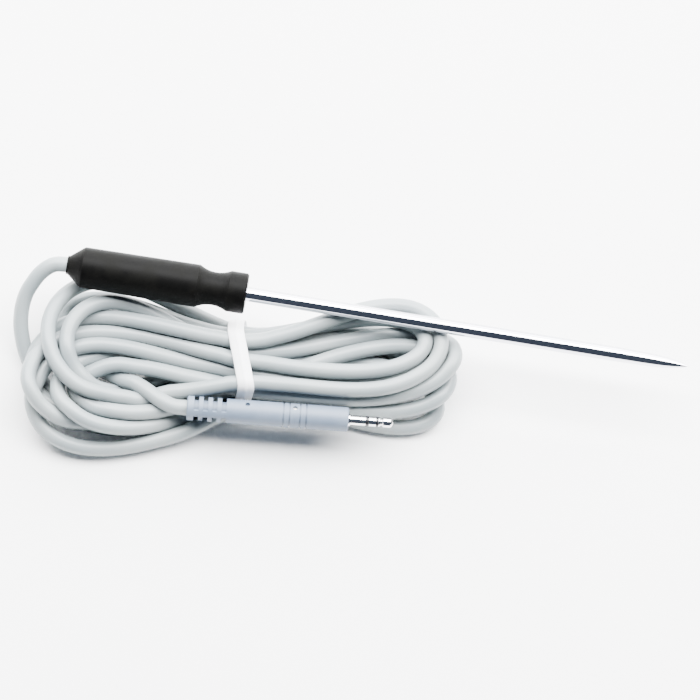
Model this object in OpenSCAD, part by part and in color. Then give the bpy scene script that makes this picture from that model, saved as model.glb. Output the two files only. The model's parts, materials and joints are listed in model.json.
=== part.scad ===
// Pointed soil probe: a thin steel rod with a temperature bead in its point, a turned plastic
// handle, a light cable bundled in a hank with a flat twist tie, and a three-contact jack plug.
// Millimetres. The origin is the middle of the handle's front face, where the rod comes out.
// +X runs along the rod to its point, +Z is up, and the surface it lies on is at z = -rest_height.

/* [Probe rod] */
// Diameter of the rod
rod_d = 3.6; // [3:0.1:5]
// Length of the rod outside the handle, with its point
rod_length = 110; // [80:1:180]
// Wall of the steel tube
tube_wall = 0.35; // [0.25:0.05:0.5]
// Length of the ground point
point_length = 17; // [12:1:22]
// Radius of the blunt end of the point
point_end_r = 0.2; // [0.1:0.05:0.5]
// How far the end of the point lies below the rod's axis
point_drop = 0.4; // [0:0.1:0.8]
// How far the tube runs back into the handle
rod_seat = 15; // [13:1:18]

/* [Sensor] */
// Diameter of the temperature bead
bead_d = 1.4; // [1.2:0.1:2]
// Length of the bead
bead_length = 2.6; // [2:0.2:4]
// Diameter of each of its insulated wires
wire_d = 0.56; // [0.4:0.02:0.6]
// Length of the resin that holds the bead in the tube
bead_resin_length = 9; // [7:1:14]

/* [Handle] */
// Length of the handle
handle_length = 44.7; // [42:0.1:70]
// Diameter of the grip at its front
grip_front_d = 10.7; // [9.5:0.1:14]
// Diameter of the grip at its rear
grip_rear_d = 10.1; // [9.5:0.1:14]
// Diameter of the collar at the front face
collar_d = 10.1; // [9.5:0.1:14]
// Length of the collar
collar_length = 4.4; // [3:0.2:7]
// Smallest diameter in the finger groove
groove_waist_d = 8.2; // [7.4:0.1:10]
// Radius of the tool that turns the finger groove
groove_tool_r = 7.6; // [6:0.2:10]
// Length of the rear cone
cone_length = 3.2; // [2:0.2:5]
// Diameter of the lip round the cable
lip_d = 4.6; // [4.4:0.1:6]
// Length of the lip round the cable
lip_length = 0.4; // [0.3:0.1:2]
// Bevel on the handle's turned corners
corner_bevel = 0.35; // [0.1:0.05:0.6]
// Diameter of the chamber inside the handle
chamber_d = 6.4; // [6:0.1:7]
// Length of the solid nose in front of the chamber
nose_length = 12; // [10:1:12]
// Length of the solid tail behind the chamber
tail_length = 10; // [8:1:12]

/* [Cable] */
// Diameter of the cable
cable_d = 3.8; // [3:0.1:4]
// Diameter of each insulated core
core_d = 1; // [0.8:0.05:1.2]
// Diameter of the bare drain wire
drain_d = 0.4; // [0.3:0.05:0.5]
// Height of the probe's axis above the surface that the bundle lies on
rest_height = 16.5; // [16.5:0.1:20]

/* [Plug] */
// Diameter of the moulded plug body
plug_d = 6; // [5.4:0.1:7]
// Length of the moulded plug body, with its strain relief
plug_length = 39.7; // [36:0.1:48]
// Length of the slotted strain relief at its rear
relief_length = 9.6; // [9.6:0.2:12]
// Width of each slot in the strain relief
slot_w = 1.2; // [0.8:0.1:1.4]
// Distance from one slot to the next
slot_pitch = 2.27; // [2:0.05:2.3]
// Width of the two webs that join the strain relief's ribs
web_w = 1.4; // [1:0.1:2]
// Diameter of the pin
pin_d = 2.5; // [2.5:0.5:3.5]
// Length of the pin, with the small shoulder at its root
pin_length = 11; // [10.5:0.1:14]

/* [Hank] */
// Height of the bundle under the handle
hank_low = 11; // [8:0.5:11]
// Height of the bundle at the tie and under the rod
hank_high = 13.7; // [11:0.1:13.7]
// Height of the shelf of cable that the plug lies on
shelf_high = 6.8; // [5:0.1:6.8]

/* [Tie] */
// Width of the flat twist tie
tie_w = 4.1; // [3:0.1:6]
// Thickness of the twist tie, over its wire
tie_t = 0.6; // [0.5:0.05:0.7]
// Diameter of the wire inside the tie
tie_wire_d = 0.35; // [0.3:0.05:0.4]

/* [Hidden] */
$fn = 48;
cut = 1;                                     // how far a cutting shape runs past what it cuts
gap = 0.03;                                  // room between resin or moulding and what it holds
slip = 0.05;                                 // room round a piece that slides into its place

rod_r = rod_d / 2;
tube_in_r = rod_r - tube_wall;
seat_r = rod_r - 0.2;                        // the tube is swaged down where it is glued in
point_x = rod_length - point_length;
spigot_length = 4;
spigot_x = point_x - spigot_length;
bead_x = spigot_x - 1 - bead_length;         // rear of the bead
resin_x = spigot_x - bead_resin_length;      // rear of the bead's resin
wire_side = wire_d / 2 + 0.07;               // each wire's distance from the axis in the tube

exit_x = -handle_length;                     // where the cable leaves the handle
chamber_x = exit_x + tail_length;            // rear wall of the chamber
chamber_r = chamber_d / 2;
cable_r = cable_d / 2;
jacket_x = chamber_x + 5;                    // where the cable's jacket is stripped back to
ring_length = 4;
ring_wall = 0.8;
seal_d = 1;                                  // section of the rubber ring round the cable
seal_x = exit_x + 5;
splice_side = 1.25;                          // each splice's distance from the axis
splice_length = 5;
splice_x = jacket_x + 4;                     // rear end of the splice tubes
splice_r = 0.55;
sleeve_t = 0.22;

pin_r = pin_d / 2;
insulation_t = 0.2;                          // walls inside the pin
shoulder_length = 0.4;
shoulder_r = pin_r + 0.35;
tip_insulator_length = 0.6;
ring_contact_length = 1.75;
ring_insulator_length = 0.8;
tip_length = 3.55;
tip_x = plug_length + pin_length - tip_length;
tip_insulator_x = tip_x - tip_insulator_length;
ring_x = tip_insulator_x - ring_contact_length;
ring_insulator_x = ring_x - ring_insulator_length;
tip_rod_r = 0.3;
ring_tube_r = tip_rod_r + 2 * insulation_t;
sleeve_in_r = ring_tube_r + insulation_t;
barrel_length = 4;                           // part of the sleeve contact inside the moulding
barrel_r = pin_r + 0.75;
barrel_x = plug_length - barrel_length;
inner_mould_length = 10;
inner_mould_x = barrel_x - inner_mould_length;
inner_mould_r = plug_d / 2 - 0.7;
tip_lug_x = inner_mould_x + 4;
ring_lug_x = inner_mould_x + 6.5;
plug_jacket_x = relief_length + 1.4;         // where the jacket ends inside the plug
lug_t = 0.4;                                 // the soldered lugs at the rear of the contacts
lug_r = 1.1;
plug_core_r = core_d / 2 - 0.15;             // the cores are squeezed a little in the moulding
plug_core_side = 0.8;
drain_side = 1.5;

// The bundle lies at an angle to the probe, and the plug at an angle to the bundle.
hank_turn = 10;
floor_z = -rest_height;
left_lobe = [-33, -15];
left_lobe_r = 23;
right_lobe = [35.8, -16.8];
right_lobe_r = 18;
waist_back = -5.5;
waist_front = -24.2;
waist_half = 4;
tie_under = 0.9;                             // room for the tie under the bundle
plug_turn = 5.3;
plug_at = [-9.8, -29.5, floor_z + 10];       // middle of the plug's rear face
plug_way = [cos(plug_turn), sin(plug_turn), 0];

// The loose cable behind the handle, from its stripped end to where it goes under the bundle.
LEAD = [[jacket_x, 0, 0], [exit_x + 0.7, 0, 0], [exit_x - 3.1, -0.3, -0.4], [exit_x - 6.1, -2.3, -2],
    [exit_x - 8.4, -5.8, -4.6], [exit_x - 9.5, -10, -7.6], [-54.3, -14.6, -10.4], [-53.5, -19, -12.8],
    [-51.8, -23, -14.3], [-50, -26, -14.6]];
// The short end of cable that comes off the bundle and goes into the plug.
TAIL = [plug_at + plug_jacket_x * plug_way, plug_at, [-13, -29.7, -6.5],
    [-16, -28.8, -6.6], [-19.2, -27.1, -7.2], [-21, -26, -7.6]];
TUBE_SIDES = 8;

function towards(points, i) = points[min(i + 1, len(points) - 1)] - points[max(i - 1, 0)];
// A ring of points round one point of a route, square to the way the route runs there.
function ring_at(at, way, r) = let(f = way / norm(way), s = cross([0, 0, 1], f) / norm(cross([0, 0, 1], f)),
    u = cross(f, s)) [for (k = [0:TUBE_SIDES - 1]) let(a = 360 * k / TUBE_SIDES)
        at + r * (cos(a) * s + sin(a) * u)];

module swept_tube(points, r) {
    n = len(points);
    rings = [for (i = [0:n - 1]) each ring_at(points[i], towards(points, i), r)];
    sides = [for (i = [0:n - 2], k = [0:TUBE_SIDES - 1])
        let(a = i * TUBE_SIDES + k, b = i * TUBE_SIDES + (k + 1) % TUBE_SIDES)
        each [[a, a + TUBE_SIDES, b], [b, a + TUBE_SIDES, b + TUBE_SIDES]]];
    first = [for (k = [0:TUBE_SIDES - 1]) k];
    last = [for (k = [TUBE_SIDES - 1:-1:0]) (n - 1) * TUBE_SIDES + k];
    polyhedron(rings, concat(sides, [first, last]));
}

// A solid or hollow round bar along X.
module bar(x0, x1, r) translate([x0, 0, 0]) rotate([0, 90, 0]) cylinder(r = r, h = x1 - x0);
module pipe(x0, x1, r_out, r_in) difference() {
    bar(x0, x1, r_out);
    bar(x0 - cut, x1 + cut, r_in);
}
module turned() rotate([0, 90, 0]) rotate_extrude() children();

// A wire through a few points: straight stretches with a slightly larger ball at each bend.
module wire(points, r) {
    for (i = [0:len(points) - 2]) {
        way = points[i + 1] - points[i];
        translate(points[i]) rotate([0, acos(way.z / norm(way)), atan2(way.y, way.x)])
            cylinder(r = r, h = norm(way), $fn = 24);
    }
    for (i = [1:len(points) - 2]) translate(points[i]) sphere(r = r + 0.01, $fn = 24);
}

// ---- the rod ----

module probe_tube() color("silver") difference() {
    union() {
        bar(0, point_x, rod_r);
        bar(-rod_seat, 0, seat_r);
    }
    bar(-rod_seat - cut, tube_wall, seat_r - tube_wall);
    bar(tube_wall, point_x + cut, tube_in_r);
}

// Radius of the point at a share t of its length, from its root to its end.
function point_r(t) = rod_r - (rod_r - point_end_r) * (0.2 * t + 0.8 * pow(t, 4.5));

module probe_point() color("silver") {
    steps = 14;
    bar(spigot_x, point_x, tube_in_r - gap);
    intersection() {
        bar(point_x, rod_length + cut, rod_r + cut);
        translate([point_x, 0, 0]) rotate([0, asin(point_drop / point_length), 0]) turned()
            polygon(concat([[0, -0.1], [rod_r, -0.1]],
                [for (i = [0:steps]) [point_r(i / steps), point_length * i / steps]],
                [[0, point_length + point_end_r / 2]]));
    }
}

module bead_shape(grow) {
    bar(bead_x + bead_d / 2, bead_x + bead_length - bead_d / 2, bead_d / 2 + grow);
    for (x = [bead_x + bead_d / 2, bead_x + bead_length - bead_d / 2])
        translate([x, 0, 0]) sphere(r = bead_d / 2 + grow);
}

module temperature_bead() color("black") difference() {
    bead_shape(0);
    for (side = [-1, 1]) wire(sensor_wire_route(side), wire_d / 2 + gap);
}

// A sensor wire: straight down the rod, then out to its splice in the handle.
function sensor_wire_route(side) = [[bead_x + bead_d / 2, side * wire_side, 0],
    [-rod_seat - 0.5, side * wire_side, 0], [splice_x + splice_length + 1.6, side * splice_side, 0],
    [splice_x + splice_length + 0.4, side * splice_side, side * 0.001]];
module sensor_wire_a() color("red") swept_tube(sensor_wire_route(1), wire_d / 2);
module sensor_wire_b() color("white") swept_tube(sensor_wire_route(-1), wire_d / 2);

module bead_resin() color("dimgray") difference() {
    bar(resin_x, spigot_x, tube_in_r - gap);
    bead_shape(gap);
    for (side = [-1, 1]) wire(sensor_wire_route(side), wire_d / 2 + gap);
}

module wire_liner() color("ivory") pipe(1, resin_x - 1, tube_in_r - 0.1, 2 * wire_side + 0.1);

// ---- the handle ----

module handle() color([0.05, 0.05, 0.06]) difference() {
    groove_x = -collar_length - sqrt(pow(groove_tool_r, 2)
        - pow(groove_waist_d / 2 + groove_tool_r - collar_d / 2, 2));
    turned() polygon([[0, 0], [collar_d / 2 - corner_bevel, 0], [collar_d / 2, -corner_bevel],
        [collar_d / 2, groove_x], [grip_front_d / 2, groove_x],
        [grip_rear_d / 2, lip_length + cone_length + corner_bevel - handle_length],
        [grip_rear_d / 2 - corner_bevel, lip_length + cone_length - corner_bevel / 2 - handle_length],
        [lip_d / 2, lip_length - handle_length], [lip_d / 2, -handle_length], [0, -handle_length]]);
    translate([groove_x, 0, 0]) turned() translate([groove_waist_d / 2 + groove_tool_r, 0])
        circle(r = groove_tool_r, $fn = 96);
    bar(-nose_length - cut, cut, seat_r + slip);
    bar(chamber_x, -nose_length, chamber_r);
    bar(-handle_length - cut, chamber_x + cut, cable_r + slip);
    bar(seal_x - seal_d / 2 - slip, seal_x + seal_d / 2 + slip, cable_r + seal_d + slip);
}

module cable_seal() color("black") translate([seal_x, 0, 0]) turned()
    translate([cable_r + seal_d / 2 + 0.02, 0]) circle(d = seal_d, $fn = 24);

module cable_stop_shape(grow) bar(chamber_x + slip - grow, chamber_x + slip + ring_length + grow,
    cable_r + slip + ring_wall + grow);
module cable_stop_ring() color("goldenrod") difference() {
    cable_stop_shape(0);
    bar(chamber_x - cut, chamber_x + ring_length + cut, cable_r + 0.02);
}

// A core of the cable inside the handle: out of the jacket and across to its splice.
function core_route(side) = [[jacket_x, side * core_d * 0.7, 0], [jacket_x + 0.6, side * core_d * 0.7, 0],
    [splice_x - 1, side * splice_side, 0], [splice_x - 0.2, side * splice_side, 0]];
module handle_core_a() color("red") swept_tube(core_route(1), core_d / 2);
module handle_core_b() color("white") swept_tube(core_route(-1), core_d / 2);

module splice_tube(side) translate([0, side * splice_side, 0])
    pipe(splice_x, splice_x + splice_length, splice_r, wire_d / 2 + gap);
module splice_tube_a() color("silver") splice_tube(1);
module splice_tube_b() color("silver") splice_tube(-1);

module splice_sleeve_shape(side, grow) translate([0, side * splice_side, 0])
    bar(splice_x - 0.8 - grow, splice_x + splice_length + 0.8 + grow, splice_r + gap + sleeve_t + grow);
module splice_sleeve(side) difference() {
    splice_sleeve_shape(side, 0);
    translate([0, side * splice_side, 0])
        bar(splice_x - cut - 1, splice_x + splice_length + cut + 1, splice_r + gap);
}
module splice_sleeve_a() color("black") splice_sleeve(1);
module splice_sleeve_b() color("black") splice_sleeve(-1);

// The bare drain wire joins the cable's screen to the steel tube, so the rod is screened too.
module handle_drain_shape(grow) wire([[jacket_x, 0, -core_d],
    [-rod_seat - gap, 0, -(tube_in_r + seat_r) / 2]], drain_d / 2 + grow);
module handle_drain_wire() color("silver") handle_drain_shape(0);

module handle_resin() color([0.2, 0.18, 0.15]) difference() {
    bar(chamber_x + gap, -nose_length - gap, chamber_r - gap);
    cable_stop_shape(gap);
    bar(chamber_x - cut, jacket_x + gap, cable_r + gap);
    bar(-rod_seat - gap, cut, seat_r + gap);
    handle_drain_shape(gap);
    for (side = [-1, 1]) {
        wire(sensor_wire_route(side), wire_d / 2 + gap);
        wire(core_route(side), core_d / 2 + gap);
        splice_sleeve_shape(side, gap);
    }
}

// ---- the cable ----

module cable_lead() color([0.86, 0.86, 0.9]) swept_tube(LEAD, cable_r);
module cable_tail() color([0.8, 0.83, 0.86]) swept_tube(TAIL, cable_r);

module bundle_frame() rotate([0, 0, hank_turn]) translate([0, 0, floor_z]) children();

module hank_outline(with_left) {
    translate(right_lobe) circle(r = right_lobe_r, $fn = 96);
    polygon([[-waist_half, waist_back], [waist_half, waist_back], [27, -1], [27, -32.6],
        [waist_half, waist_front], [-waist_half, waist_front]]);
    if (with_left) {
        translate(left_lobe) circle(r = left_lobe_r, $fn = 96);
        polygon([[-24, 6.1], [-waist_half, waist_back], [-waist_half, waist_front], [-24, -36.1]]);
    }
}

module cable_hank() color([0.8, 0.83, 0.86]) bundle_frame() difference() {
    union() {
        linear_extrude(hank_low) hank_outline(true);
        linear_extrude(hank_high) hank_outline(false);
    }
    // the shelf that the plug and its short end of cable lie on
    translate([0, 0, shelf_high]) linear_extrude(hank_high)
        polygon([[-24.5, -20.2], [-17, -24.1], [56, -26.8], [56, -45], [-24.5, -45]]);
    // room for the tie
    translate([-tie_w, waist_front - cut, -cut])
        cube([2 * tie_w, waist_back - waist_front + 2 * cut, tie_under + cut]);
}

// ---- the plug ----

module plug_frame() translate(plug_at) rotate([0, 0, plug_turn]) children();

// The two cores inside the plug run straight to the lugs of the tip and of the ring.
module plug_core_shape(side, lug_x, past, grow) translate([0, side * plug_core_side, 0])
    bar(plug_jacket_x, lug_x - 0.4 + past, plug_core_r + grow);
module plug_drain_shape(grow) translate([0, 0, -drain_side])
    bar(plug_jacket_x, barrel_x - gap, drain_d / 2 + grow);
module plug_core_a() color("red") plug_frame() plug_core_shape(1, tip_lug_x, 0, 0);
module plug_core_b() color("white") plug_frame() plug_core_shape(-1, ring_lug_x, 0, 0);
module plug_drain_wire() color("silver") plug_frame() plug_drain_shape(0);

// The solder on the lugs of the tip and of the ring.
module plug_solder() color("silver") plug_frame() {
    translate([0, plug_core_side, 0]) bar(tip_lug_x - 0.4 + gap, tip_lug_x - gap, 0.3);
    translate([0, -plug_core_side, 0]) bar(ring_lug_x - 0.4 + gap, ring_lug_x - gap, 0.3);
}

module tip_lug_shape(grow) translate([tip_lug_x - grow, -0.5 - grow, -0.5 - grow])
    cube([lug_t + 2 * grow, 0.5 + lug_r + 2 * grow, 1 + 2 * grow]);

module plug_tip_contact() color("silver") plug_frame() {
    bar(tip_lug_x, tip_x, tip_rod_r);
    tip_lug_shape(0);
    translate([tip_x, 0, 0]) turned() polygon([[0, 0], [pin_r, 0], [pin_r, 0.25], [pin_r - 0.35, 0.55],
        [pin_r - 0.35, 0.75], [pin_r, 1.15], [pin_r, tip_length - 0.6], [pin_r - 0.25, tip_length - 0.25],
        [pin_r - 0.7, tip_length], [0, tip_length]]);
}

module plug_tip_insulator() color("black") plug_frame() {
    pipe(tip_insulator_x, tip_x - gap, pin_r, tip_rod_r + 0.02);
    pipe(ring_lug_x + 0.3, tip_insulator_x, tip_rod_r + insulation_t - 0.02, tip_rod_r + 0.02);
}

module plug_ring_contact() color("silver") plug_frame() {
    pipe(ring_x, tip_insulator_x - gap, pin_r, tip_rod_r + insulation_t);
    pipe(ring_lug_x, ring_x, ring_tube_r - 0.02, tip_rod_r + insulation_t);
    pipe(ring_lug_x, ring_lug_x + lug_t, lug_r, tip_rod_r + insulation_t);
}

module plug_ring_insulator() color("black") plug_frame() {
    pipe(ring_insulator_x, ring_x - gap, pin_r, ring_tube_r);
    pipe(barrel_x - 1, ring_insulator_x, sleeve_in_r - 0.02, ring_tube_r);
}

module plug_sleeve_contact() color("silver") plug_frame() difference() {
    union() {
        bar(plug_length, ring_insulator_x - gap, pin_r);
        bar(plug_length - 0.2, plug_length + shoulder_length, shoulder_r);
        bar(barrel_x, plug_length, barrel_r);
    }
    bar(barrel_x - cut, ring_insulator_x + cut, sleeve_in_r);
}

module plug_inner_mould() color("gainsboro") plug_frame() difference() {
    bar(inner_mould_x, barrel_x - gap, inner_mould_r);
    bar(tip_lug_x, ring_lug_x, tip_rod_r + gap);
    tip_lug_shape(gap);
    bar(ring_lug_x - gap, ring_lug_x + lug_t + gap, lug_r + gap);
    bar(ring_lug_x, barrel_x + cut, ring_tube_r + gap);
    bar(barrel_x - 1 - gap, barrel_x + cut, sleeve_in_r + gap);
    plug_core_shape(1, tip_lug_x, 0.39, gap);
    plug_core_shape(-1, ring_lug_x, 0.39, gap);
    plug_drain_shape(gap);
}

module plug_body() color([0.7, 0.74, 0.8]) plug_frame() difference() {
    line_w = 0.35;                           // width and depth of the fine turned lines
    line_depth = 0.3;
    bevel = 0.25;
    r = plug_d / 2;
    turned() polygon([[0, 0], [r - bevel, 0], [r, bevel], [r, plug_length - bevel],
        [r - bevel, plug_length], [0, plug_length]]);
    // slots of the strain relief, each cut round the cable up to the two webs
    for (i = [0:3]) rotate([43, 0, 0]) difference() {
        pipe(1.7 + i * slot_pitch, 1.7 + i * slot_pitch + slot_w, r + cut, cable_r + 0.15);
        translate([0, -web_w / 2, -r - cut]) cube([relief_length + cut, web_w, 2 * (r + cut)]);
    }
    // two pairs of fine lines round the body
    for (x = [23.7, 25.2, 27.8, 29.3]) pipe(x - line_w / 2, x + line_w / 2, r + cut, r - line_depth);
    // two moulding dimples
    for (x = [14.8, 26.5]) rotate([-21, 0, 0]) translate([x, 0, r - 0.8]) cylinder(d = 1.2, h = 1);
    bar(-cut, plug_jacket_x + gap, cable_r + slip);
    bar(inner_mould_x - gap, barrel_x, inner_mould_r + gap);
    bar(barrel_x - gap, plug_length + cut, barrel_r + gap);
    plug_core_shape(1, tip_lug_x, 0, gap);
    plug_core_shape(-1, ring_lug_x, 0, gap);
    plug_drain_shape(gap);
}

// ---- the tie ----

module tie_section(grow) translate([waist_front - slip - grow, tie_under - slip - grow])
    square([waist_back - waist_front + 2 * (slip + grow), hank_high - tie_under + 2 * (slip + grow)]);

module tie_band(w, inner, outer) bundle_frame() translate([-w / 2, 0, 0]) rotate([90, 0, 90])
    linear_extrude(w) difference() {
        tie_section(outer);
        tie_section(inner);
    }

module tie_ribbon() color("white") difference() {
    union() {
        tie_band(tie_w, 0, tie_t);
        // the two ends, twisted together behind the bundle
        bundle_frame() translate([0, waist_back + slip + tie_t, 6]) rotate([0, 20, 0])
            translate([-tie_w / 4, -0.01, 0]) cube([tie_w / 2, 2.2, 5.4]);
    }
    tie_band(tie_wire_d + 0.04, -0.01, tie_wire_d + 0.02);
}
module tie_wire() color("silver") tie_band(tie_wire_d, 0.02, tie_wire_d);

probe_tube();
probe_point();
temperature_bead();
bead_resin();
sensor_wire_a();
sensor_wire_b();
wire_liner();
handle();
handle_resin();
splice_tube_a();
splice_tube_b();
splice_sleeve_a();
splice_sleeve_b();
handle_core_a();
handle_core_b();
handle_drain_wire();
cable_stop_ring();
cable_seal();
cable_lead();
cable_hank();
cable_tail();
plug_body();
plug_inner_mould();
plug_sleeve_contact();
plug_ring_contact();
plug_tip_contact();
plug_ring_insulator();
plug_tip_insulator();
plug_core_a();
plug_core_b();
plug_drain_wire();
plug_solder();
tie_ribbon();
tie_wire();
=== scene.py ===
import json
import math

import bpy
import numpy as np
from mathutils import Matrix, Vector

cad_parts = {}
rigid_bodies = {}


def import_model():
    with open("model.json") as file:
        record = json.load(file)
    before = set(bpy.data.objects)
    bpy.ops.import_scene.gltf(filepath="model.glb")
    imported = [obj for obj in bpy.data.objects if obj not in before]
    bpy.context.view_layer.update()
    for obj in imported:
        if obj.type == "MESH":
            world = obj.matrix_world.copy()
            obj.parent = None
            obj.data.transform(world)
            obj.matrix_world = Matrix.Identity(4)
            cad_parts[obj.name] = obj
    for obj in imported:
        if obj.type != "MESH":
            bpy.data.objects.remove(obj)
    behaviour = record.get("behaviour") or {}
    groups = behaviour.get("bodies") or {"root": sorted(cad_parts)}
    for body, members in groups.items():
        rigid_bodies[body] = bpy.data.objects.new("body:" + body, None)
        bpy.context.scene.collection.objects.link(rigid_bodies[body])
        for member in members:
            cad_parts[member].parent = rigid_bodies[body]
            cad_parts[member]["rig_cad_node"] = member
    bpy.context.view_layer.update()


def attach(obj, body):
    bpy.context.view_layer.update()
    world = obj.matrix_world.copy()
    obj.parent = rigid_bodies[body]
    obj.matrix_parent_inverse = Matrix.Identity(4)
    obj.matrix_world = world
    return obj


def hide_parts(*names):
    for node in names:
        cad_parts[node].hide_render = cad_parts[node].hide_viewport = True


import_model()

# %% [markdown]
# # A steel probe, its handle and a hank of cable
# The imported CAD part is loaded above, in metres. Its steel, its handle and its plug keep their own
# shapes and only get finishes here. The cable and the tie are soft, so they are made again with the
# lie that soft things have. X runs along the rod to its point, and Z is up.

MM = 0.001
FLOOR_Z = -16.5                 # the surface that everything lies on, in mm
BUNDLE_TURN = math.radians(10)  # the bundle lies at this angle to the rod

# %% [markdown]
# ## Looking down on it
# A long lens from a metre away keeps the rod's two edges nearly parallel. The camera looks down at
# 70 degrees, square to the rod, so that neither end face of the handle shows. It is rolled a little,
# which tips the rod in the picture and leaves the bundle level.

# %% Camera
def bundle_point(along, across, height):
    """A point in the part's frame, in mm, from its place along, across and up in the bundle."""
    c, s = math.cos(BUNDLE_TURN), math.sin(BUNDLE_TURN)
    return Vector((along * c - across * s, along * s + across * c, height + FLOOR_Z))


LOOK_DOWN = math.radians(70)
ROLL = math.radians(9.25)
FAR = 1000                      # from the camera to what it looks at, in mm
looked_at = Vector((27.4, -8.4, -4.8))
camera_data = bpy.data.cameras.new("camera")
camera_data.lens, camera_data.sensor_width = 208.5, 36
camera_data.clip_start = 0.01
camera = bpy.data.objects.new("camera", camera_data)
camera.location = (looked_at + FAR * Vector((0, -math.cos(LOOK_DOWN), math.sin(LOOK_DOWN)))) * MM
tilt = Matrix.Rotation(math.pi / 2 - LOOK_DOWN, 4, "X") @ Matrix.Rotation(ROLL, 4, "Z")
camera.rotation_euler = tilt.to_euler()
bpy.context.scene.collection.objects.link(camera)
bpy.context.scene.camera = camera
print("camera at", [round(v, 3) for v in camera.location])

# %% [markdown]
# ## The cable's lie
# A cable bundled by hand is one long line that goes to and fro through the tie, each fold a little
# different from the last. It could be drawn point by point, but then nothing would keep it from
# running through itself. Here each fold is one row of a table, a loop turns the rows into a rough
# line, and a small simulation of a springy rod settles that line: it straightens bends, keeps
# the strands about a diameter apart, and keeps them off the floor, the handle, the rod and the plug.
#
# The two ends are fixed first, because the cable has to come out of the handle and go into the plug
# just where the CAD part has them.

# %% The two free stretches, as the CAD part has them, in mm
CABLE_D = 3.8
CABLE_R = CABLE_D / 2
PLUG_LENGTH = 39.7
LEAD = [(-29.7, 0, 0), (-44, 0, 0), (-47.8, -0.3, -0.4), (-50.8, -2.3, -2), (-53.1, -5.8, -4.6),
        (-54.2, -10, -7.6), (-54.3, -14.6, -10.4), (-53.5, -19, -12.8), (-51.8, -23, -14.3)]
PLUG_AT = np.array([-9.8, -29.5, -6.5])          # middle of the plug's rear face
PLUG_TURN = math.radians(5.3)
PLUG_WAY = np.array([math.cos(PLUG_TURN), math.sin(PLUG_TURN), 0])
IN_PLUG = 11                    # how far the cable goes into the plug's body
TAIL = [(-21, -26, -7.6), (-19.2, -27.1, -7.2), (-16, -28.8, -6.6), (-13, -29.7, -6.5),
        tuple(PLUG_AT), tuple(PLUG_AT + IN_PLUG * PLUG_WAY)]
print("free ends:", len(LEAD), "points at the handle and", len(TAIL), "at the plug")

# %% [markdown]
# Sixteen strands pass under the tie, stacked in four rows like pipes. Each has a place there: how
# far across the bundle it lies, and how high. T is the top row, then come M and N, and P is on the
# floor.

# %% Where each strand passes the tie, across and up, in mm
PLACES = {
    "T1": (-11.9, 11.3), "T2": (-16.6, 12.3), "T3": (-20.6, 11.4),
    "M1": (-8.9, 8.4), "M2": (-13.6, 8.6), "M3": (-18.2, 8.6), "M4": (-22.6, 8.4),
    "N1": (-7.6, 5.2), "N2": (-11.6, 5.4), "N3": (-15.6, 5.4), "N4": (-19.6, 5.4),
    "N5": (-23.4, 5.0),
    "P1": (-9.6, 2), "P2": (-13.6, 2), "P3": (-17.6, 2), "P4": (-21.6, 2)}
print("strands under the tie:", len(PLACES))

# %% [markdown]
# A fold is a strand that leaves the tie at one place, bends round and comes back at another. Side 1
# is towards the rod's point and -1 towards the lead. Then a row has the two places, how far across
# the fold lies where it leaves, at its tip and where it returns, how far out it reaches, how long
# its bend is, and its heights where it leaves, at its tip and where it returns.

# %% The folds, in the order in which the cable runs
FOLDS = [
    (1, "P3", "N1", -20.5, -12, -1.1, 49.6, 14, 3.5, 1.9, 1.9),
    (-1, "N1", "T3", 9.9, -10.8, -23.8, 51, 18, 9.5, 9.5, 5.5),
    (1, "T3", "T1", -25.6, -11.1, -0.4, 51.5, 18, 9, 12.7, 12.7),
    (-1, "T1", "P2", -0.5, -18.1, -29.5, 55.7, 18, 6, 5, 1.9),
    (1, "P2", "P1", -24.2, -15, -8.2, 45.9, 12, 1.9, 3.5, 1.9),
    (-1, "P1", "M2", -25.6, -12.6, 3, 47.3, 15, 1.9, 9, 9.5),
    (1, "M2", "M4", -5.7, -13.1, -25.2, 53.5, 17, 8.5, 8.5, 5.5),
    (-1, "M4", "N4", -15.1, -21.6, -28.6, 46.7, 12, 6, 3, 1.9),
    (1, "N4", "N5", -9.6, -20, -28.7, 54, 15, 7, 4.5, 1.9),
    (-1, "N5", "M3", -37.1, -25.6, -9, 55.4, 16, 1.9, 5, 5.7),
    (1, "M3", "N2", -20.5, -13, -4.1, 49.7, 14, 5.7, 5.7, 5.7),
    (-1, "N2", "P4", -12.5, -23.6, -33.9, 50.7, 14, 5, 4, 4.5),
    (1, "P4", "N3", -32.7, -25.9, -15, 52.1, 13, 1.9, 1.9, 4),
    (-1, "N3", "T2", -31, -20.2, -4.8, 55.6, 18, 1.9, 5.5, 6),
    (1, "T2", "M1", -20.9, -9.1, -1.3, 48.7, 15, 9.5, 9.2, 9),
]
# Along, across and up: how the lead goes in under the bundle, and the last loop before the plug.
UNDER_LEFT = [(-45.3, -25.0, 1.9), (-38.1, -29.1, 1.9), (-31.2, -29.0, 1.9), (-24.3, -27.1, 1.9)]
LAST_LOOP = [(-13.6, -4.7, 7), (-20.8, 0.2, 5.7), (-30.7, 4.6, 5), (-36.3, 6.3, 5), (-41.4, 6.5, 5),
             (-46.2, 5.2, 4.5), (-49.3, 1.7, 3.5), (-50.1, -2.8, 2.5), (-47.9, -6.7, 1.9),
             (-44.0, -8.8, 1.9), (-39.9, -10.9, 1.9), (-35.2, -13.8, 1.9), (-31.0, -17.0, 3.6)]
print("folds:", len(FOLDS))

# %% [markdown]
# Each row becomes points: one at the tie, one just beside it where the strand still runs almost
# straight, half an ellipse of seven points that leans and climbs as the row says, and one just
# beside the tie again.

# %% Rows into rough points
BESIDE = 6                      # how far out from the tie a strand still runs almost straight
LEANS, CLIMBS = 0.06, 0.15      # how much of its way across and up it has made by then


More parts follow.
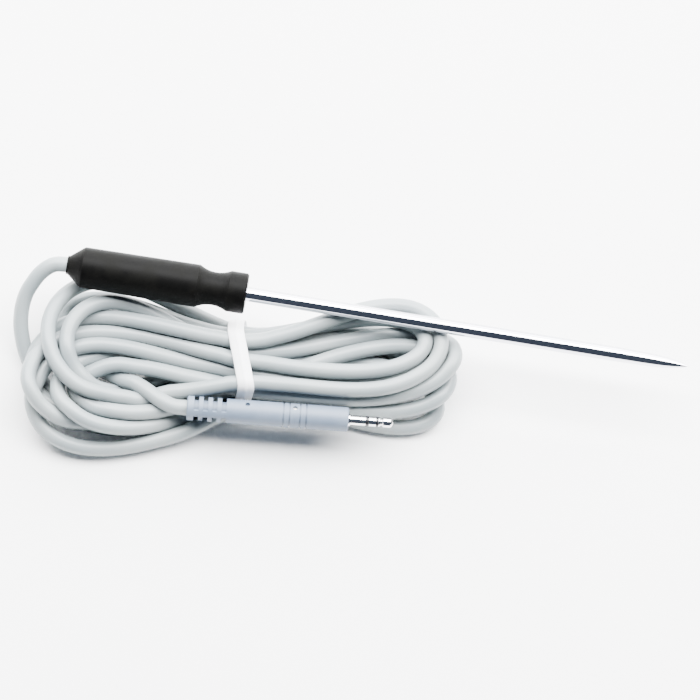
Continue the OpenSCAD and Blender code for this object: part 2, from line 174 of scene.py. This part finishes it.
def beside_tie(place, side, towards, height):
    """A point just outside the tie, where a strand still runs almost along the bundle."""
    across, up = PLACES[place]
    return bundle_point(side * BESIDE, across + LEANS * (towards - across),
                        up + CLIMBS * (height - up))


def fold_points(side, out, back, leave, tip, come, reach, bend, low, mid, high):
    """One fold as points: its place at the tie, then half an ellipse that leans as the row says."""
    points = [bundle_point(0, *PLACES[out]), beside_tie(out, side, leave, low)]
    for angle in range(0, 181, 30):
        c, s = math.cos(math.radians(angle)), math.sin(math.radians(angle))
        first = angle <= 90
        across = leave + (tip - leave) * (1 - c) if first else tip - (come - tip) * c
        share = angle / 90 if first else angle / 90 - 1
        height = low + (mid - low) * share if first else mid + (high - mid) * share
        points.append(bundle_point(side * (reach - bend + bend * s), across, height))
    return points + [beside_tie(back, side, come, high)]


rough = [Vector(p) for p in LEAD] + [bundle_point(*p) for p in UNDER_LEFT]
for fold in FOLDS:
    rough += fold_points(*fold)
rough += [bundle_point(0, *PLACES["M1"]), beside_tie("M1", -1, -4, 7)]
rough += [bundle_point(*p) for p in LAST_LOOP] + [Vector(p) for p in TAIL]
print("rough points:", len(rough))

# %% [markdown]
# A curve through the rough points has to be smooth where they are far apart and close to them where
# they are near each other. A centripetal Catmull-Rom curve does both and never makes a cusp.

# %% A smooth line with even steps
def even_steps(line, step):
    """The same line, with points that are all about a step apart."""
    gone = np.r_[0, np.cumsum(np.linalg.norm(np.diff(line, axis=0), axis=1))]
    at = np.linspace(0, gone[-1], int(round(gone[-1] / step)) + 1)
    return np.stack([np.interp(at, gone, line[:, k]) for k in range(3)], 1)


def smooth_line(points, step, per_span=24):
    """A centripetal Catmull-Rom curve through the points, in even steps."""
    p = np.array([tuple(q) for q in points], float)
    p = np.vstack([2 * p[0] - p[1], p, 2 * p[-1] - p[-2]])
    spans = []
    for a, b, c, d in zip(p[:-3], p[1:-2], p[2:-1], p[3:]):
        t0, t1 = 0, np.linalg.norm(b - a) ** 0.5
        t2 = t1 + np.linalg.norm(c - b) ** 0.5
        t3 = t2 + np.linalg.norm(d - c) ** 0.5
        t = np.linspace(t1, t2, per_span, endpoint=False)[:, None]
        ab = (t1 - t) / (t1 - t0) * a + (t - t0) / (t1 - t0) * b
        bc = (t2 - t) / (t2 - t1) * b + (t - t1) / (t2 - t1) * c
        cd = (t3 - t) / (t3 - t2) * c + (t - t2) / (t3 - t2) * d
        abc = (t2 - t) / (t2 - t0) * ab + (t - t0) / (t2 - t0) * bc
        bcd = (t3 - t) / (t3 - t1) * bc + (t - t1) / (t3 - t1) * cd
        spans.append((t2 - t) / (t2 - t1) * abc + (t - t1) / (t2 - t1) * bcd)
    return even_steps(np.vstack(spans + [p[-2:-1]]), step)


STEP = 2.0                      # between the points of the line that is simulated, in mm
planned = smooth_line(rough, STEP)
print("planned length:", round(len(planned) * STEP), "mm in", len(planned), "points")

# %% [markdown]
# ## Letting it settle
# A cable that is pushed at one point bends over a stretch. So each push is spread over the points
# beside it, less and less further out. Without that, a push makes a kink.

# %% Spreading a push
def share_out(moves, reach):
    """Each point's move, shared with its neighbours up to a reach."""
    total = moves.copy()
    for k in range(1, reach + 1):
        weight = 1 - k / (reach + 1)
        total[k:] += weight * moves[:-k]
        total[:-k] += weight * moves[k:]
    return total / (1 + 2 * sum(1 - k / (reach + 1) for k in range(1, reach + 1)))


# %% [markdown]
# Two strands can't be in the same place, so every pair of points that is too close is pushed apart,
# half each. Points that are near each other along the same stretch are left out, because they are
# meant to be close.

# %% Strands push each other apart
APART = 3.86                    # between centrelines: a diameter and a little
SAME_STRETCH = 16               # points nearer than this along the cable don't push each other
TOUCHING = 0.01                 # closer than this counts as this far, so that no push is endless


def pushed_apart(line, near):
    """How each point moves to get a diameter away from every other stretch."""
    squares = (line * line).sum(1)
    between = squares[:, None] + squares[None, :] - 2 * line @ line.T
    between[near] = np.inf
    i, j = np.where(np.triu(between < APART * APART, 1))
    moves, count = np.zeros_like(line), np.zeros(len(line))
    way = line[i] - line[j]
    gap = np.maximum(np.sqrt((way * way).sum(1)), TOUCHING)
    push = ((APART - gap) / gap * 0.5)[:, None] * way
    np.add.at(moves, i, push)
    np.add.at(moves, j, -push)
    np.add.at(count, i, 1)
    np.add.at(count, j, 1)
    return moves / np.maximum(1, count * 0.5)[:, None]


# %% [markdown]
# The hard pieces are round, so staying out of them only needs a distance from an axis. The handle is
# a cone at its rear, then the grip, a waist and a collar, and the rod follows. The plug is a barrel
# and its pin.

# %% Hard pieces push the cable out
HANDLE_REAR, CONE_END, WAIST_START, COLLAR_START = -44.7, -41, -11.5, -4.4    # along X, in mm
CONE_R, GRIP_R, WAIST_R, COLLAR_R, ROD_R = 3.5, 5.35, 4.6, 5.05, 1.8
PLUG_R, PIN_R, PIN_END = 3, 1.25, 51             # PIN_END is along the plug from its rear
CLEAR = 0.02                    # left between the cable and a hard piece
TINY = 1e-6                     # keeps a distance from being nothing


def pushed_out(line):
    """How each point moves to get out of the handle, the rod, the plug's body and its pin."""
    moves = np.zeros_like(line)
    x, off = line[:, 0], np.hypot(line[:, 1], line[:, 2])
    handle = np.select([x < CONE_END, x > COLLAR_START, x > WAIST_START],
                       [CONE_R, COLLAR_R, WAIST_R], GRIP_R)
    room = np.where((x > HANDLE_REAR) & (x < 0), handle, ROD_R) + CABLE_R + CLEAR
    out = np.where((off < room) & (x > HANDLE_REAR), room / np.maximum(off, TINY) - 1, 0)
    moves[:, 1:] += line[:, 1:] * out[:, None]
    from_plug = line - PLUG_AT
    along = from_plug @ PLUG_WAY
    away = from_plug - along[:, None] * PLUG_WAY
    off = np.linalg.norm(away, axis=1)
    room = np.where((along > 0) & (along < PIN_END),
                    np.where(along < PLUG_LENGTH, PLUG_R, PIN_R) + CABLE_R + CLEAR, 0)
    hit = off < room
    moves[hit] += away[hit] * (room[hit] / np.maximum(off[hit], TINY) - 1)[:, None]
    return moves


# %% [markdown]
# A springy rod keeps an even bend, so each point moves towards where its neighbours' curve would put
# it. That is done for close neighbours and for far ones, because close ones alone only iron out
# small kinks. The plan pulls each point back, firmly under the tie, and weaker and weaker elsewhere,
# most of all in height, so that the strands come to lie where there is room.

# %% Springiness, and the pull of the plan
SPRINGY = 0.35                  # the share of the way to the even bend that a point makes in a pass
NEIGHBOURS = ((1, SPRINGY), (2, SPRINGY), (4, SPRINGY), (6, SPRINGY / 4))
WEIGHT = 0.012                  # how far a point sinks in a pass, in mm
FIRM = 0.15                     # the plan's pull under the tie
FLAT_PULL, FLAT_LEFT = 0.1, 0.3     # its pull sideways elsewhere, and what is left of it at the end
TALL_PULL, TALL_LEFT = 0.05, 0.08   # the same in height
TIE_HALF = 5                    # how far from the tie's middle the pull is firm


def straighten(line, free):
    """Move the free points towards an even bend."""
    for k, stiff in NEIGHBOURS:
        bent = line.copy()
        bent[2 * k:-2 * k] = (4 * (line[k:-3 * k] + line[3 * k:-k])
                              - line[:-4 * k] - line[4 * k:]) / 6
        line[free] += stiff * (bent - line)[free]


def plan_pull(line, plan, in_tie, late):
    """How each point moves back towards the plan, and down by its weight."""
    flat = np.where(in_tie, FIRM, FLAT_PULL * FLAT_LEFT ** late)
    tall = np.where(in_tie, FIRM, TALL_PULL * TALL_LEFT ** late)
    pull = (plan - line) * np.stack([flat, flat, tall], 1)
    pull[:, 2] -= WEIGHT
    return pull


# %% [markdown]
# A cable doesn't stretch, so points that have drifted apart or together slide back to an even step.

# %% Keeping the steps even
SLIDE = 0.15                    # the share of a step's error that is put right in a pass


def evened(line):
    """How each point slides along the cable to make the steps even."""
    way = np.diff(line, axis=0)
    long = np.linalg.norm(way, axis=1)
    stretch = ((long - long.mean()) / long * SLIDE)[:, None] * way
    even = np.zeros_like(line)
    even[:-1] += stretch
    even[1:] -= stretch
    return even


# %% [markdown]
# Now the passes. Both ends are held. Each pass straightens, pulls towards the plan, evens the steps,
# pushes strands apart twice, pushes them off the hard pieces and lifts them off the floor. Pushes
# are spread widely at first and narrowly at the end, when only small overlaps are left.

# %% Settle
HELD_FIRST, HELD_LAST = 26, 24  # the lengths at the two ends that don't move, in mm
WEAK_FROM = 0.6                 # the share of the passes after which the plan's pull stays weak
# Up to each share of the passes: how far a push is spread, and how much it is raised for that.
SPREADS = ((0.7, 3, 1.7), (0.9, 2, 1.7), (1, 1, 1.4))
OUT_REACH, OUT_PUSH = 2, 1.3    # the same for a push from a hard piece


def settle(plan, passes):
    """The planned line after so many passes."""
    line, number = plan.copy(), np.arange(len(plan))
    gone = number * STEP
    free = (gone > HELD_FIRST) & (gone[-1] - gone > HELD_LAST)
    near = np.abs(number[:, None] - number[None, :]) * STEP < SAME_STRETCH
    along_bundle = plan[:, 0] * math.cos(BUNDLE_TURN) + plan[:, 1] * math.sin(BUNDLE_TURN)
    in_tie = np.abs(along_bundle) < TIE_HALF
    for n in range(passes):
        share = n / passes
        straighten(line, free)
        line[free] += plan_pull(line, plan, in_tie, min(1, share / WEAK_FROM))[free]
        line[free] += evened(line)[free]
        reach, push = next(spread[1:] for spread in SPREADS if share < spread[0])
        for _ in range(2):
            line[free] += (share_out(pushed_apart(line, near), reach) * push)[free]
        out = pushed_out(line)
        out[~free] = 0
        line += share_out(out, OUT_REACH) * OUT_PUSH
        line[:, 2] = np.maximum(line[:, 2], FLOOR_Z + CABLE_R)
    return line


PASSES, QUICK_PASSES = 800, 40
settled = settle(planned, PASSES)
cable_line = smooth_line(settled, step=1.0, per_span=4)

# %% [markdown]
# A curve object with a round bevel is the simplest tube: its own line is the cable's centreline, so
# its length can be read straight off it.

# %% The cable
def link(thing):
    """Put a new object in the scene, and give it back."""
    bpy.context.scene.collection.objects.link(thing)
    return thing


cable_data = bpy.data.curves.new("cable", "CURVE")
cable_data.dimensions = "3D"
cable_data.bevel_depth = 1      # times the radius that each point is given
cable_data.bevel_resolution = 5
cable_data.use_fill_caps = True
strand = cable_data.splines.new("POLY")
strand.points.add(len(cable_line) - 1)
with_weights = np.c_[cable_line * MM, np.ones(len(cable_line))].astype(np.float32)
strand.points.foreach_set("co", with_weights.ravel())
strand.points.foreach_set("radius", np.full(len(cable_line), CABLE_R * MM, np.float32))
strand.use_smooth = True
cable = link(bpy.data.objects.new("cable", cable_data))
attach(cable, "root")
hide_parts("cable_lead", "cable_hank", "cable_tail")
print("cable curve:", len(strand.points), "points")

# %% [markdown]
# ## The tie
# A twist tie is a flat plastic ribbon with a soft wire down its middle. It is pulled round all the
# strands where they cross the middle of the bundle, so its path is the outline of those strands.
# That is worked out from the settled cable: a ring of points round every strand, and the tightest
# loop that goes round all the rings.

# %% The outline of the strands under the tie
TIE_ALONG = 1.5                 # how far the tie sits towards the lead from the bundle's middle
TIE_LOOK = 3.6                  # strands are looked at this far to each side of it
TIE_EDGE = -24.8                # what lies further across runs outside the tie
TIE_GAP = 0.12                  # between the cable and the ribbon
RING_POINTS, PATH_POINTS = 24, 96
FINE = 0.25                     # the step of the path that those points are picked from, in mm
across_way = np.array([-math.sin(BUNDLE_TURN), math.cos(BUNDLE_TURN), 0])
along_way = np.array([math.cos(BUNDLE_TURN), math.sin(BUNDLE_TURN), 0])
in_bundle = np.stack([cable_line @ along_way, cable_line @ across_way,
                      cable_line[:, 2] - FLOOR_Z], 1)
looked_over = (np.abs(in_bundle[:, 0] + TIE_ALONG) < TIE_LOOK) & (in_bundle[:, 1] > TIE_EDGE)
under_tie = in_bundle[looked_over][:, 1:]


def outline(points, off, count):
    """The tightest closed path that stays at a distance from all the points."""
    spread = np.linspace(0, 2 * math.pi, RING_POINTS, endpoint=False)
    ring = off * np.stack([np.cos(spread), np.sin(spread)], 1)
    order = sorted(map(tuple, (points[:, None] + ring[None]).reshape(-1, 2)))
    hull = []
    for run in (order, order[::-1]):
        part = []
        for p in run:
            while len(part) > 1 and ((part[-1][0] - part[-2][0]) * (p[1] - part[-2][1])
                                     - (part[-1][1] - part[-2][1]) * (p[0] - part[-2][0])) <= 0:
                part.pop()
            part.append(p)
        hull += part[:-1]
    hull = np.array(hull + hull[:1])
    path = even_steps(np.c_[hull, np.zeros(len(hull))], FINE)[:-1, :2]
    return path[np.linspace(0, len(path) - 1, count).astype(int)]


tie_path = outline(under_tie, CABLE_R + TIE_GAP, PATH_POINTS)
print("tie: round", len(under_tie), "points of cable,",
      round(float(np.ptp(tie_path[:, 0])), 1), "by", round(float(np.ptp(tie_path[:, 1])), 1), "mm")

# %% [markdown]
# The ribbon is one small section carried along that path: flat wings with a round ridge in the
# middle, where the wire is. It leans a little, as a tie that is put on by hand does, and more so on
# top than underneath.

# %% The ribbon, with its wire showing as a ridge
TIE_W, TIE_T, WIRE_RIDGE = 4.1, 0.22, 0.3
TIE_LEAN, TIE_MIDDLE = 0.17, -16    # how much it leans per mm across, and where it doesn't lean


def make_mesh(name, points, faces, smooth=True):
    """An object from points in mm and faces, shaded smooth or flat."""
    data = bpy.data.meshes.new(name)
    data.from_pydata([tuple(float(v) * MM for v in p) for p in points], [], faces)
    data.update()
    data.shade_smooth() if smooth else data.shade_flat()
    return link(bpy.data.objects.new(name, data))


def ribbon_section():
    """Places over the ribbon's width, each with its height over the ribbon's inner face."""
    flank = TIE_T + 0.45 * WIRE_RIDGE
    over = [(-0.5, 0), (-0.47, TIE_T), (-0.16, TIE_T), (-0.09, flank), (0, TIE_T + WIRE_RIDGE),
            (0.09, flank), (0.16, TIE_T), (0.47, TIE_T), (0.5, 0)]
    return [(w * TIE_W, h) for w, h in over]


section = ribbon_section()
points, faces = [], []
lowest, highest = tie_path[:, 1].min(), tie_path[:, 1].max()
for n, (across, height) in enumerate(tie_path):
    ahead, behind = tie_path[(n + 1) % len(tie_path)], tie_path[n - 1]
    run = (ahead - behind) / np.linalg.norm(ahead - behind)
    normal = np.array([run[1], -run[0]])
    raised = (height - lowest) / (highest - lowest)
    more = 1.3 * raised - 0.3                    # 1 on top, and a little the other way underneath
    lean = -TIE_ALONG + TIE_LEAN * (TIE_MIDDLE - across) * more
    for along, rise in section:
        a, h = np.array([across, height]) + normal * rise
        points.append(bundle_point(lean + along, a, h))
wide = len(section)
for n in range(len(tie_path)):
    m = (n + 1) % len(tie_path)
    for k in range(wide):
        j = (k + 1) % wide
        faces.append((n * wide + k, n * wide + j, m * wide + j, m * wide + k))
tie = make_mesh("tie", points, faces)
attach(tie, "root")
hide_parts("tie_ribbon", "tie_wire")
print("tie:", len(faces), "faces")

# %% [markdown]
# ## The CAD pieces by name
# Every CAD piece is found by the name of its node, so that a finish can be put on it by that name.

# %% The CAD pieces by name
parts = {o["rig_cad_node"]: o for o in bpy.context.scene.objects if "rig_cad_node" in o}
print("CAD nodes:", len(parts))

# %% [markdown]
# ## Shader maths that reads like maths
# A finish is a small graph of nodes. Writing it as expressions keeps it short: a wrapped socket adds
# a Math node whenever it is added or multiplied.

# %% A wrapped socket
class Flow:
    """One socket of a node graph, with + and * between sockets and numbers."""

    def __init__(self, finish, socket):
        self.finish, self.socket = finish, socket

    def _maths(self, operation, a, b):
        return self.finish.add("ShaderNodeMath", {"operation": operation}, {0: a, 1: b})

    def __add__(self, other):
        return self._maths("ADD", self, other)

    def __radd__(self, other):
        return self._maths("ADD", other, self)

    def __mul__(self, other):
        return self._maths("MULTIPLY", self, other)

    def __rmul__(self, other):
        return self._maths("MULTIPLY", other, self)


# %% [markdown]
# A material starts with one big node, the Principled shader. The values that are the same all over
# are set on it when it is made, and what varies is fed to it later. One method makes every other
# node: it takes the node's type, its settings and what goes into its sockets.

# %% A finish
class Finish:
    """One material: its graph, its Principled shader, and the ways to add to them."""

    def __init__(self, name, **same_all_over):
        self.material = bpy.data.materials.new(name)
        self.material.use_nodes = True
        self.tree = self.material.node_tree
        self.shader = self.tree.nodes["Principled BSDF"]
        for socket, value in same_all_over.items():
            self.shader.inputs[socket.replace("_", " ")].default_value = value

    def add(self, kind, settings=None, sockets=None, out=0):
        """Any node: settings first, then a value or a link for each socket named."""
        node = self.tree.nodes.new(kind)
        for name, value in (settings or {}).items():
            setattr(node, name, value)
        for name, value in (sockets or {}).items():
            self._set(node.inputs[name], value)
        return Flow(self, node.outputs[out])

    def _set(self, socket, value):
        if isinstance(value, Flow):
            self.tree.links.new(value.socket, socket)
        else:
            socket.default_value = value

    def feed(self, **sockets):
        """Give the shader's own sockets what varies."""
        for name, value in sockets.items():
            self._set(self.shader.inputs[name.replace("_", " ")], value)
        return self

    def place(self):
        """Where on the piece a spot is, in metres, in the part's own frame."""
        return self.add("ShaderNodeTexCoord", out="Object")

    def noise(self, scale, detail=2.0, stretch=(1, 1, 1)):
        """Soft random patches in all three directions."""
        where = self.add("ShaderNodeVectorMath", {"operation": "MULTIPLY"},
                         {0: self.place(), 1: stretch})
        return self.add("ShaderNodeTexNoise",
                        sockets={"Vector": where, "Scale": scale, "Detail": detail})

    def rings(self, scale):
        """Fine random rings round the rod's axis, from noise that only changes along it."""
        along = self.add("ShaderNodeSeparateXYZ", sockets={0: self.place()})
        return self.add("ShaderNodeTexNoise", {"noise_dimensions": "1D"},
                        {"W": along, "Scale": scale, "Detail": 2})

    def blend(self, mask, first, second):
        """A mix of two colours, which a Mix node takes at sockets 6 and 7 and gives at socket 2."""
        return self.add("ShaderNodeMix", {"data_type": "RGBA"},
                        {0: mask, 6: first, 7: second}, out=2)

    def between(self, value, low, high):
        """0 where the value is below low, 1 above high, and a soft step between."""
        return self.add("ShaderNodeMapRange", {"interpolation_type": "SMOOTHSTEP"},
                        {"Value": value, "From Min": low, "From Max": high})

    def bump(self, height, strength, distance):
        """Fine relief that the mesh doesn't have. The distance is in metres."""
        return self.add("ShaderNodeBump",
                        sockets={"Height": height, "Strength": strength, "Distance": distance})


# %% [markdown]
# Screen colours go from 0 to 255 and aren't in proportion to light. A shader wants them in
# proportion, so one helper changes them with the usual curve, and another puts a finish on pieces.

# %% Colours, and giving a finish
def colour(r, g, b):
    """A shader colour from the 0 to 255 numbers of a screen colour."""
    light = [v / 255 / 12.92 if v < 10 else ((v / 255 + 0.055) / 1.055) ** 2.4 for v in (r, g, b)]
    return (*light, 1)


def wear(finish, *nodes):
    """Give a finish to CAD nodes or pieces."""
    for n in nodes:
        piece = parts[n] if isinstance(n, str) else n
        piece.data.materials.clear()
        piece.data.materials.append(finish.material)
    print(finish.material.name, "on", len(nodes), "pieces")


# %% [markdown]
# ## Cable jacket
# Soft PVC is pale, a little glossy, and never quite even: it has faint cloudy patches where hands
# have been, and its surface has a very fine grain that breaks up the highlight.

# %% Cable jacket
jacket = Finish("cable_jacket", IOR=1.5)
clouds = jacket.between(jacket.noise(60), 0.35, 0.7)
grain = jacket.noise(2500, 1)
pale = jacket.blend(clouds, colour(131, 140, 143), colour(141, 148, 149))
jacket.feed(Base_Color=pale, Roughness=0.33 + 0.08 * clouds,
            Normal=jacket.bump(grain, 0.06, 0.00005))
wear(jacket, cable)

# %% [markdown]
# ## Tie
# The ribbon is thin white plastic, smoother than the cable, and it picks up a little dirt.

# %% Tie plastic
tie_white = Finish("tie_plastic", IOR=1.5)
dust = tie_white.between(tie_white.noise(300), 0.4, 0.75)
tie_white.feed(Base_Color=tie_white.blend(dust, colour(247, 247, 249), colour(238, 239, 242)),
               Roughness=0.38 + 0.1 * dust)
wear(tie_white, tie)

# %% [markdown]
# ## Handle
# The handle is turned from black plastic. The tool leaves very fine rings round it, which spread the
# highlight along its length, and the plastic itself is satin.

# %% Handle plastic
black = Finish("handle_plastic", IOR=1.49, Specular_IOR_Level=0.045)
turned = black.rings(2600)
mottle = black.between(black.noise(220, 3), 0.35, 0.7)
black.feed(Base_Color=black.blend(mottle, colour(6, 6, 6), colour(9, 9, 8)),
           Roughness=0.42 + 0.12 * mottle, Normal=black.bump(turned, 0.12, 0.00006))
wear(black, "handle")

# %% [markdown]
# ## Steel
# The rod is ground and polished stainless steel. Polishing runs round the rod, so its fine marks are
# rings, and faint smears lie along it.

# %% Polished steel
steel = Finish("polished_steel", Metallic=1.0)
marks = steel.rings(3500)
smears = steel.between(steel.noise(90, 2, (0.25, 1, 1)), 0.4, 0.7)
steel.feed(Base_Color=steel.blend(smears, colour(226, 226, 232), colour(216, 217, 226)),
           Roughness=0.03 + 0.02 * smears + 0.015 * marks,
           Normal=steel.bump(marks, 0.03, 0.00002))
wear(steel, "probe_tube", "probe_point")

# %% [markdown]
# ## Plug
# The plug's body is moulded PVC in a bluer grey than the cable, with a fine sparked texture from the
# mould. The pin is bright nickel, and its two insulating rings are glossy black.

# %% Plug moulding
moulding = Finish("plug_moulding", IOR=1.5)
spark = moulding.noise(3500, 2)
shade = moulding.between(moulding.noise(120), 0.35, 0.7)
moulding.feed(Base_Color=moulding.blend(shade, colour(93, 106, 124), colour(103, 115, 131)),
              Roughness=0.46 + 0.08 * shade, Normal=moulding.bump(spark, 0.08, 0.00006))
wear(moulding, "plug_body")

# %% [markdown]
# The pin's metal is bright but not a mirror: handling leaves a haze. The rings between its contacts
# are a hard black plastic that was turned flush with them.

# %% Pin
nickel = Finish("nickel", Metallic=1.0)
haze = nickel.between(nickel.noise(500, 2), 0.4, 0.7)
nickel.feed(Base_Color=nickel.blend(haze, colour(238, 238, 238), colour(228, 228, 230)),
            Roughness=0.1 + 0.08 * haze)
wear(nickel, "plug_sleeve_contact", "plug_ring_contact", "plug_tip_contact")

# %% Rings on the pin
ring_black = Finish("ring_black", IOR=1.5)
speck = ring_black.between(ring_black.noise(900), 0.4, 0.7)
ring_black.feed(Base_Color=ring_black.blend(speck, colour(20, 21, 26), colour(30, 31, 36)),
                Roughness=0.25 + 0.1 * speck)
wear(ring_black, "plug_ring_insulator", "plug_tip_insulator")

# %% [markdown]
# ## What is sealed inside
# The bead, the wires, the splices and the resins can't be seen from outside, but each still gets the
# finish of its own stuff, so that an opened or cut model looks right.

# %% Inner finishes
def inner(name, first, second, roughness, metallic=0.0):
    """A finish of two near colours in soft patches."""
    finish = Finish(name, Metallic=metallic)
    mix = finish.between(finish.noise(800), 0.4, 0.7)
    return finish.feed(Base_Color=finish.blend(mix, first, second), Roughness=roughness + 0.1 * mix)


wear(inner("bead_epoxy", colour(20, 20, 20), colour(34, 34, 34), 0.3), "temperature_bead")
wear(inner("cast_resin", colour(62, 57, 52), colour(74, 68, 62), 0.35),
     "bead_resin", "handle_resin")
wear(inner("red_insulation", colour(190, 40, 34), colour(176, 34, 30), 0.4),
     "sensor_wire_a", "handle_core_a", "plug_core_a")
wear(inner("white_insulation", colour(228, 226, 220), colour(216, 214, 208), 0.4),
     "sensor_wire_b", "handle_core_b", "plug_core_b", "wire_liner", "plug_inner_mould")
wear(inner("tinned_copper", colour(206, 204, 200), colour(190, 188, 184), 0.3, 1.0),
     "splice_tube_a", "splice_tube_b", "handle_drain_wire", "plug_drain_wire", "plug_solder")
wear(inner("shrink_sleeve", colour(24, 24, 25), colour(34, 34, 35), 0.45),
     "splice_sleeve_a", "splice_sleeve_b")
wear(inner("stop_ring_brass", colour(208, 176, 108), colour(192, 160, 96), 0.3, 1.0),
     "cable_stop_ring")
wear(inner("seal_rubber", colour(26, 26, 26), colour(36, 36, 36), 0.6), "cable_seal")

# %% [markdown]
# ## Floor
# One large flat sheet is enough. It is matt and nearly white, like paper, with very faint clouds in
# it.

# %% Floor
HALF = 1500                     # of the floor's side, in mm
corners = [(-HALF, -HALF), (HALF, -HALF), (HALF, HALF), (-HALF, HALF)]
floor = make_mesh("floor", [(x, y, FLOOR_Z) for x, y in corners], [(0, 1, 2, 3)], smooth=False)
paper = Finish("paper", Roughness=0.8)
fibre = paper.between(paper.noise(12), 0.3, 0.7)
paper.feed(Base_Color=paper.blend(fibre, colour(250, 250, 250), colour(252, 252, 252)))
floor.data.materials.append(paper.material)
print("floor:", 2 * HALF * MM, "m wide")

# %% [markdown]
# ## Light
# The light of a catalogue table comes from large white boxes above and behind, and the camera's side
# of the room is dark. So every round thing is bright on its back and top and shades off towards the
# front. In the polished rod the dark room is one dark band, and under it the floor is a pale one.

# %% Lights
LIT_X = 0.03                    # the lights are centred on the middle of the object, in metres


def soft_light(name, raised, far, size, watts):
    """A white box behind the object, raised so many degrees, so many metres away and facing it."""
    data = bpy.data.lights.new(name, "AREA")
    data.shape, data.size, data.size_y = "RECTANGLE", *size
    data.energy = watts
    light = link(bpy.data.objects.new(name, data))
    up = math.radians(raised)
    light.location = Vector((LIT_X, far * math.cos(up), far * math.sin(up)))
    light.rotation_euler = (up - math.pi / 2, 0, 0)
    print(name, "light:", watts, "W,", raised, "degrees up")


soft_light("overhead", 67, 0.9, (2.0, 0.62), 110)
soft_light("back", 24, 1.1, (2.2, 0.75), 80)
world = bpy.data.worlds.new("room")
world.use_nodes = True
sky = world.node_tree.nodes["Background"]
sky.inputs["Color"].default_value = (0.6, 0.75, 1.0, 1)
sky.inputs["Strength"].default_value = 0.12
bpy.context.scene.world = world

# %% [markdown]
# ## The end
# The scene is brought up to date once more.

# %% The end
bpy.context.view_layer.update()
